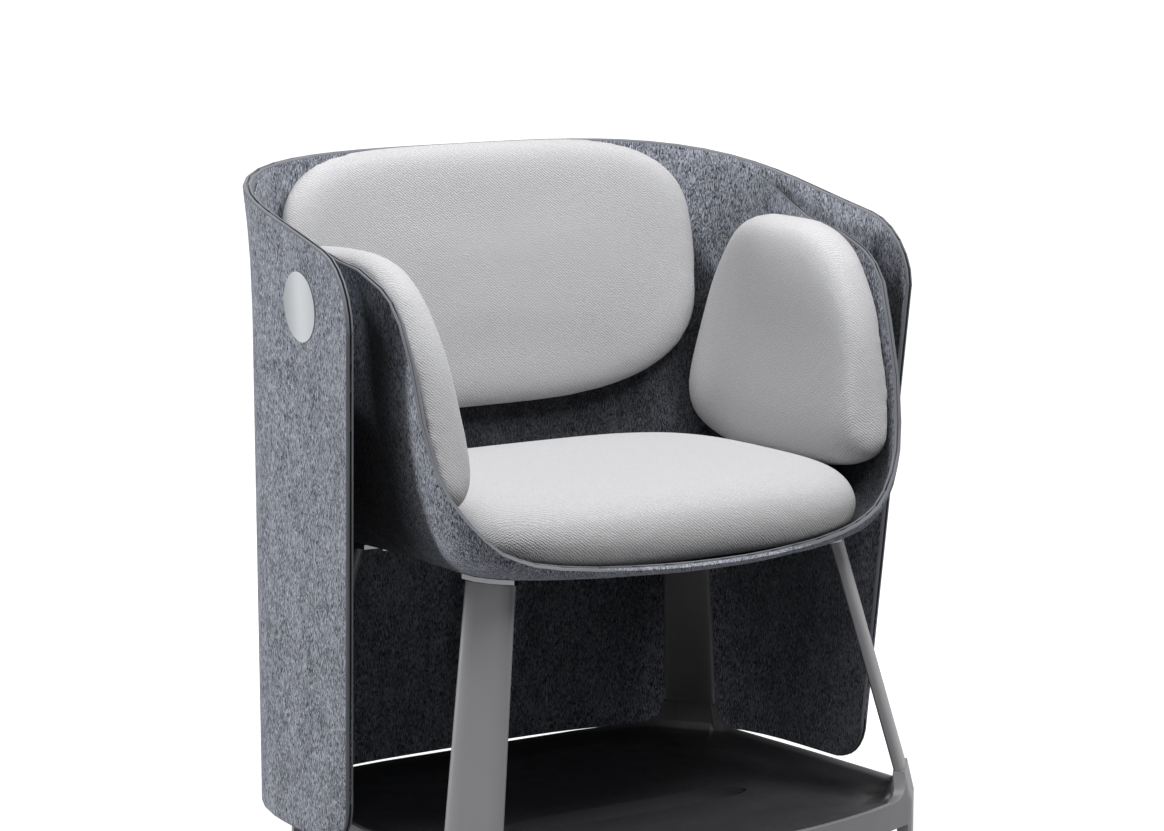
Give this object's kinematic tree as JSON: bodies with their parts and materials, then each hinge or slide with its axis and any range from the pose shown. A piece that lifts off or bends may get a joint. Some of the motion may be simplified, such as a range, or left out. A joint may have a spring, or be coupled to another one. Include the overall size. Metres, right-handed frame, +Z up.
{
  "type": "acoustic lounge chair",
  "caption": "Lounge chair with a felt bucket seat inside a wrap-round felt privacy screen, loose cushions, blade legs and a dished tray base with a slot for a bag.",
  "frame": {"origin": "on the floor under the middle of the chair's bounding box", "axes": "+Z up, -Y the way the sitter faces, +X to the sitter's left"},
  "size_m": [0.738, 0.574, 0.7951],
  "materials": {
    "screen_felt": "mottled pressed felt",
    "shell_felt": "mottled pressed felt",
    "cushion_cloth": "pale woven cloth",
    "carrier_board": "moulded board",
    "base_paint": "fine textured powder coat",
    "tray_paint": "fine textured powder coat",
    "saddle_polish": "polished",
    "glide_rubber": "matt",
    "disc_satin": "satin",
    "spacer_polish": "polished",
    "screw_steel": "plain"
  },
  "bodies": {
    "root": {"outer_screen": "screen_felt", "seat_shell": "shell_felt", "seat_cushion": "cushion_cloth", "back_cushion": "cushion_cloth", "left_arm_cushion": "cushion_cloth", "right_arm_cushion": "cushion_cloth", "seat_cushion_carrier": "carrier_board", "back_cushion_carrier": "carrier_board", "left_arm_carrier": "carrier_board", "right_arm_carrier": "carrier_board", "front_left_leg": "base_paint", "front_right_leg": "base_paint", "rear_left_leg": "base_paint", "rear_right_leg": "base_paint", "front_left_saddle": "saddle_polish", "front_right_saddle": "saddle_polish", "rear_left_saddle": "saddle_polish", "rear_right_saddle": "saddle_polish", "base_tray": "tray_paint", "front_left_glide": "glide_rubber", "front_right_glide": "glide_rubber", "rear_left_glide": "glide_rubber", "rear_right_glide": "glide_rubber", "left_wing_disc": "disc_satin", "right_wing_disc": "disc_satin", "left_wing_spacer": "spacer_polish", "right_wing_spacer": "spacer_polish", "saddle_screws": "screw_steel", "leg_screws": "screw_steel", "leg_dowels": "screw_steel"}
  },
  "joints": []
}
